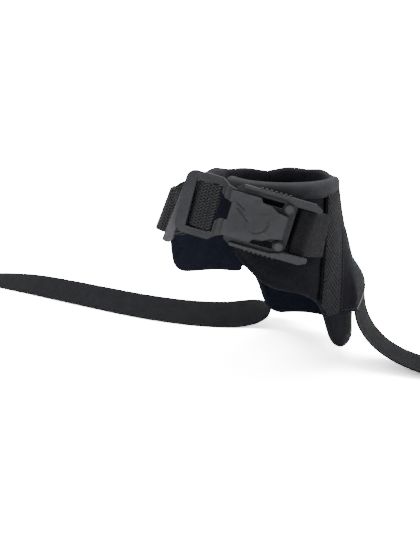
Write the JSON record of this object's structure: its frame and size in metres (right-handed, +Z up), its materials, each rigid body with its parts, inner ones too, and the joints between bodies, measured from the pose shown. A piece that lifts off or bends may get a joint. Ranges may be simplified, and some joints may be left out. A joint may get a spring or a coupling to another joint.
{
  "type": "ankle foot orthosis",
  "caption": "Padded ankle cuff that closes in front with a strap and a magnetic side-lever buckle, with a webbing tether leaving each lower side.",
  "frame": {"origin": "middle of the ankle opening, 120 mm above the surface that the foot stands on", "axes": "+Z up along the leg, -Y towards the toes, +X to the side that carries the buckle base"},
  "size_m": [0.6857, 0.4879, 0.2085],
  "materials": {
    "lining_fabric": "smooth woven lining",
    "foam": "closed-cell foam",
    "cover_fabric": "brushed stretch fabric",
    "binding_fabric": "fine knitted binding",
    "webbing": "woven webbing",
    "elastic": "ribbed elastic",
    "buckle_plastic": "moulded, fine grain",
    "spring_steel": "bright",
    "magnet": "nickel plated",
    "brass": "blackened brass"
  },
  "bodies": {
    "cuff": {"back_lining": "lining_fabric", "back_foam": "foam", "back_cover": "cover_fabric", "back_rim_binding": "binding_fabric", "right_flap_lining": "lining_fabric", "right_flap_foam": "foam", "right_flap_cover": "cover_fabric", "right_rim_binding": "binding_fabric", "right_side_strip": "webbing", "left_side_strip": "webbing", "right_sleeve": "cover_fabric", "left_sleeve": "cover_fabric", "right_tether": "webbing", "right_tether_eyelet": "brass", "left_tether": "webbing", "left_tether_eyelet": "brass", "anchor_webbing": "webbing", "buckle_base": "buckle_plastic", "base_magnet": "magnet", "base_magnet_cap": "buckle_plastic", "lever_pins": "spring_steel", "upper_lever_spring": "spring_steel", "lower_lever_spring": "spring_steel"},
    "upper_release_lever": {"upper_lever": "buckle_plastic"},
    "lower_release_lever": {"lower_lever": "buckle_plastic"},
    "left_flap": {"left_flap_lining": "lining_fabric", "left_flap_foam": "foam", "left_flap_cover": "cover_fabric", "left_rim_binding": "binding_fabric", "flap_webbing": "webbing"},
    "front_strap": {"front_webbing": "webbing", "male_buckle": "buckle_plastic", "plate_magnet": "magnet", "plate_magnet_cap": "buckle_plastic"},
    "keeper": {"strap_keeper": "elastic"}
  },
  "joints": [
    {"name": "left_flap_swing", "type": "hinge", "parent": "cuff", "child": "left_flap", "pos_m": [-0.0556, 0.009, 0.033], "axis": [0.0521, 0.2721, 0.9609], "range_deg": [-60, 0]},
    {"name": "strap_swing", "type": "hinge", "parent": "left_flap", "child": "front_strap", "pos_m": [-0.05404, -0.07156, 0.05772], "axis": [0.0521, 0.2721, 0.9609], "range_deg": [-70, 0]},
    {"name": "keeper_slide", "type": "slide", "parent": "front_strap", "child": "keeper", "axis": [-0.6495, -0.7216, 0.2396], "range_m": [0, 0.002]},
    {"name": "upper_lever_press", "type": "hinge", "parent": "cuff", "child": "upper_release_lever", "pos_m": [0.05238, -0.03244, 0.05753], "axis": [0.7586, -0.6365, 0.1392], "range_deg": [0, 3.6], "stiffness_Nm_per_rad": 0.25, "springref_deg": -2.86},
    {"name": "lower_lever_press", "type": "hinge", "parent": "cuff", "child": "lower_release_lever", "pos_m": [0.05071, -0.04115, 0.02678], "axis": [0.7586, -0.6365, 0.1392], "range_deg": [-3.6, 0], "stiffness_Nm_per_rad": 0.25, "springref_deg": 2.86}
  ]
}
